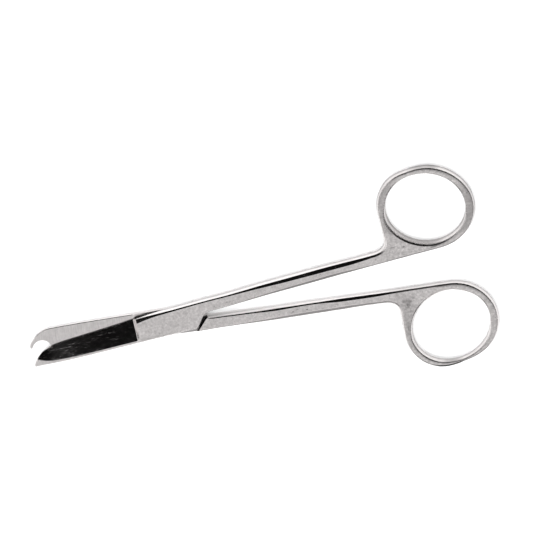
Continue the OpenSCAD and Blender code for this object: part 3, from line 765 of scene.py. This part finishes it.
        tint = g.math("MULTIPLY", tint, g.remap(cell, 0.3, 0.72, 0.94, 1.05))
        tint = g.math("MULTIPLY", tint, g.remap(arcs, 0.62, 0.8, 1.0, 0.9))
        tint = g.math("MULTIPLY", tint, g.math("MULTIPLY_ADD", dirt_and_painted_shade, -0.93, 1.0))
    else:
        rings = g.node("ShaderNodeTexWave", _wave_type="RINGS", _rings_direction="Z", Vector=p, Scale=1.6, Distortion=1.2, Detail=3.0)
        bump_h = g.math("MULTIPLY_ADD", fine, 0.6, g.math("MULTIPLY", rings.outputs[1], 0.5))
        bump_d = 6e-6
        rv = g.remap(cloud, 0.3, 0.7, rough - 0.04, rough + 0.08)
        tint = g.math("MULTIPLY", tint, g.remap(cell, 0.3, 0.7, 0.86, 1.03))
        # painted shade: the bore's walls and the screw's slot, both recesses, are darkened
        if look == "bore":
            tint = g.math("MULTIPLY", tint, 0.6)
    colour = g.mix(1.0, STEEL, g.node("ShaderNodeCombineColor", Red=tint, Green=tint, Blue=tint).outputs[0], "MULTIPLY")
    bump = g.node("ShaderNodeBump", Height=bump_h, Distance=bump_d, Strength=1.0)
    bsdf = g.node("ShaderNodeBsdfPrincipled", Base__Color=colour, Roughness=rv, Metallic=1.0, Normal=bump.outputs[0])
    g.node("ShaderNodeOutputMaterial", Surface=bsdf.outputs[0])
    return g.mat


def finishes(kind, tag):
    return [steel(f"steel_{look}_{tag}", kind, look) for look in ("side", "satin", "bevel", "edge", "lap", "bore")]


# ------------------------------------------------------------------ the two halves
TIP_X = HEEL_X - BLADE_LEN


def place(ob, kind):
    m = Matrix.Rotation(math.radians(OPEN / 2 if kind == STRAIGHT else -OPEN / 2), 4, "Z")
    if kind == HOOKED:
        m = m @ Matrix.Rotation(math.pi, 4, "X")
    ob.data.transform(Matrix.Translation(PIVOT) @ m @ Matrix.Scale(0.001, 4))
    ob.data.update()


def finish_mesh(ob, angle=27):
    me = ob.data
    bm = bmesh.new()
    bm.from_mesh(me)
    bmesh.ops.remove_doubles(bm, verts=bm.verts, dist=2e-5)
    bmesh.ops.dissolve_degenerate(bm, edges=bm.edges, dist=2e-5)
    bmesh.ops.holes_fill(bm, edges=[e for e in bm.edges if e.is_boundary], sides=6)
    bm.to_mesh(me)
    bm.free()
    me.polygons.foreach_set("use_smooth", np.ones(len(me.polygons), bool))
    me.set_sharp_from_angle(angle=math.radians(angle))
    me.update()


def make_half(kind, name, tag):
    slots = finishes(kind, tag)
    v, f, m = forging(kind)
    ob = to_mesh(name, v, f, m, slots)
    shoulder = [(9.3, -8), (9.25, 0.0), (8.92, 0.2), (8.66, 0.42), (8.47, 0.65), (6.86, 2.6), (2.5, 8.07)]
    cut(ob, prism("lap", [(TIP_X - 5, -8)] + shoulder + [(TIP_X - 5, 8)], -4, LAP, slots, 4, lean=0.32))
    if kind == STRAIGHT:
        cut(ob, lathe("bore", [(0, -1), (1.5, -1), (1.5, 1.9), (0, 1.9)], slots, 5))
    else:
        cut(ob, lathe("bore", [(0, -1), (1.53, -1), (1.53, 1.04), (2.25, 1.04), (2.25, 1.88), (2.38, 2.02), (2.38, 3), (0, 3)], slots, 5))
        cx = HEEL_X - BLADE_LEN * 0.892
        cut(ob, lathe("notch", [(0, -1), (2.4, -1), (2.4, 0.75), (2.62, 1.1), (2.62, 3), (0, 3)], slots, 3, cx=cx, cy=2.68))
    finish_mesh(ob)
    place(ob, kind)
    return ob


front = make_half(STRAIGHT, "front_half_steel", "front")
hooked = make_half(HOOKED, "hooked_half_steel", "hooked")


def make_screw():
    slots = [steel("steel_screw", STRAIGHT, "screw"), steel("steel_screw_slot", STRAIGHT, "bore")]
    prof = [(0, -1.965), (1.0, -1.962), (1.7, -1.95), (2.0, -1.93), (2.1, -1.90), (2.17, -1.84), (2.2, -1.76), (2.2, -1.2), (2.16, -1.1),
            (2.1, -1.08), (1.56, -1.08), (1.5, -1.02), (1.5, 1.8), (1.42, 1.88), (0, 1.88)]
    ob = lathe("pivot_screw_steel", prof, slots, 0, n=144)
    w = 0.275
    slot = prism("slot", [(-3, -w), (3, -w), (3, w), (-3, w)], -3, -1.53, slots, 1)
    slot.data.transform(Matrix.Rotation(math.radians(24), 4, "Z"))
    cut(ob, slot)
    finish_mesh(ob, 30)
    ob.data.transform(Matrix.Translation(PIVOT) @ Matrix.Scale(0.001, 4))
    return ob


screw = make_screw()
for ob, body, node, slot in ((front, "front", "front_half", "satin_steel"), (hooked, "hooked", "hooked_half", "satin_steel"),
                             (screw, "front", "pivot_screw", "screw_steel")):
    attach(ob, body)
    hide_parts(node)

# ------------------------------------------------------------------ camera
scene = bpy.context.scene
ALPHA, TILT, PXMM = math.radians(12.2), math.radians(17.0), 4.1
U = Vector((math.cos(ALPHA), -math.sin(ALPHA), 0))
V = Vector((math.sin(ALPHA), math.cos(ALPHA), 0))
Z = Vector((0, 0, 1))
back = V * math.sin(TILT) + Z * math.cos(TILT)
up = V * math.cos(TILT) - Z * math.sin(TILT)
middle = PIVOT + U * ((266.5 - 170.0) / PXMM / 1000) + V * ((320.7 - 266.5) / (PXMM * math.cos(TILT)) / 1000)
DIST = 5.0
cam_data = bpy.data.cameras.new("camera")
cam = bpy.data.objects.new("camera", cam_data)
scene.collection.objects.link(cam)
cam_data.sensor_width = 36
cam_data.sensor_fit = "HORIZONTAL"
cam_data.lens = 36 * DIST / (533 / PXMM / 1000)
cam_data.clip_start, cam_data.clip_end = 0.01, 50
rot = Matrix((U, up, back)).transposed().to_4x4()
cam.matrix_world = Matrix.Translation(middle + back * DIST) @ rot
scene.camera = cam

# ------------------------------------------------------------------ floor, world, lights
floor_me = bpy.data.meshes.new("floor")
floor_me.from_pydata([(-3, -3, 0), (3, -3, 0), (3, 3, 0), (-3, 3, 0)], [], [(0, 1, 2, 3)])
floor = bpy.data.objects.new("floor", floor_me)
scene.collection.objects.link(floor)
g = Graph("floor_white")
pos = g.node("ShaderNodeTexCoord").outputs["Object"]
tone = g.remap(g.noise(pos, 9.0, 3.0), 0.3, 0.7, 0.86, 0.88)
seen = g.node("ShaderNodeLightPath").outputs["Is Camera Ray"]
tone = g.math("MULTIPLY", tone, g.math("MULTIPLY_ADD", seen, -0.12, 1.0))
glow = g.math("MULTIPLY", seen, 0.10)
col = g.node("ShaderNodeCombineColor", Red=tone, Green=tone, Blue=tone).outputs[0]
fb = g.node("ShaderNodeBsdfPrincipled", Base__Color=col, Roughness=0.9)
fb.inputs["Specular IOR Level"].default_value = 0.1
fb.inputs["Emission Color"].default_value = (1, 1, 1, 1)
g.t.links.new(glow, fb.inputs["Emission Strength"])
g.node("ShaderNodeOutputMaterial", Surface=fb.outputs[0])
floor_me.materials.append(g.mat)

world = bpy.data.worlds.new("studio")
scene.world = world
world.use_nodes = True
wt = world.node_tree
wt.nodes.clear()


def wnode(kind, **kw):
    nd = wt.nodes.new(kind)
    for k, v in kw.items():
        if k.startswith("_"):
            setattr(nd, k[1:], v)
        else:
            sock = nd.inputs[int(k[1:])] if k[0] == "i" and k[1:].isdigit() else nd.inputs[k.replace("__", " ")]
            if isinstance(v, bpy.types.NodeSocket):
                wt.links.new(v, sock)
            else:
                sock.default_value = v
    return nd


wdir = wnode("ShaderNodeTexCoord").outputs["Generated"]
dv = wnode("ShaderNodeVectorMath", _operation="DOT_PRODUCT", i0=wdir, i1=tuple(V)).outputs["Value"]
du = wnode("ShaderNodeVectorMath", _operation="DOT_PRODUCT", i0=wdir, i1=tuple(U)).outputs["Value"]
dz = wnode("ShaderNodeVectorMath", _operation="DOT_PRODUCT", i0=wdir, i1=(0, 0, 1)).outputs["Value"]
ang = wnode("ShaderNodeMath", _operation="ARCTAN2", i0=dz, i1=dv).outputs[0]
share = wnode("ShaderNodeMath", _operation="DIVIDE", i0=ang, i1=math.pi).outputs[0]
ramp = wnode("ShaderNodeValToRGB", Fac=share)
ramp.color_ramp.interpolation = "EASE"
stops = [(0.0, 1.0), (0.035, 0.5), (0.055, 0.005), (0.47, 0.005), (0.53, 1.16), (0.76, 1.16), (0.88, 0.42), (1.0, 0.36)]
els = ramp.color_ramp.elements
els[0].position, els[0].color = stops[0][0], (stops[0][1],) * 3 + (1,)
els[1].position, els[1].color = stops[-1][0], (stops[-1][1],) * 3 + (1,)
for q, c in stops[1:-1]:
    e = els.new(q)
    e.color = (c, c, c, 1)
au = wnode("ShaderNodeMath", _operation="ABSOLUTE", i0=du).outputs[0]
fade = wnode("ShaderNodeMapRange", _interpolation_type="SMOOTHSTEP", Value=au)
for k, x in zip(("From Min", "From Max", "To Min", "To Max"), (0.1, 0.5, 1.0, 0.62)):
    fade.inputs[k].default_value = x
dim = wnode("ShaderNodeMix", _data_type="RGBA", _blend_type="MULTIPLY")
dim.inputs[0].default_value = 1.0
wt.links.new(ramp.outputs[0], dim.inputs[6])
wt.links.new(fade.outputs[0], dim.inputs[7])


def ranged(value, lo, hi, first, last):
    nd = wnode("ShaderNodeMapRange", _interpolation_type="SMOOTHSTEP", Value=value)
    for k, x in zip(("From Min", "From Max", "To Min", "To Max"), (lo, hi, first, last)):
        nd.inputs[k].default_value = x
    return nd.outputs[0]


def blend(share, first, second):
    nd = wnode("ShaderNodeMix", _data_type="RGBA")
    for k, x in ((0, share), (6, first), (7, second)):
        wt.links.new(x, nd.inputs[k])
    return nd.outputs[2]


# high soft lights on the left and, weaker, on the right; the low sides stay dark
sides = blend(ranged(du, -0.78, -0.5, 1.0, 0.0), dim.outputs[2], ranged(dz, 0.08, 0.45, 0.04, 1.6))
sides = blend(ranged(du, 0.5, 0.78, 0.0, 1.0), sides, ranged(dz, 0.25, 0.8, 0.02, 0.6))
studio = wnode("ShaderNodeBackground", Color=sides, Strength=1.0)
white = wnode("ShaderNodeBackground", Color=(1, 1, 1, 1), Strength=1.0)
path = wnode("ShaderNodeLightPath")
both = wnode("ShaderNodeMixShader", i0=path.outputs["Is Camera Ray"], i1=studio.outputs[0], i2=white.outputs[0])
wnode("ShaderNodeOutputWorld", Surface=both.outputs[0])

lamp = bpy.data.lights.new("overhead", "AREA")
lamp.shape, lamp.size, lamp.size_y = "RECTANGLE", 1.6, 1.6
lamp.energy = 40
lamp_ob = bpy.data.objects.new("overhead", lamp)
lamp_ob.location = V * 0.35 + Z * 1.3
lamp_ob.visible_glossy = False
scene.collection.objects.link(lamp_ob)

scene.view_settings.view_transform = "Standard"
scene.view_settings.look = "None"
scene.view_settings.exposure = 0.0
scene.view_settings.gamma = 1.0
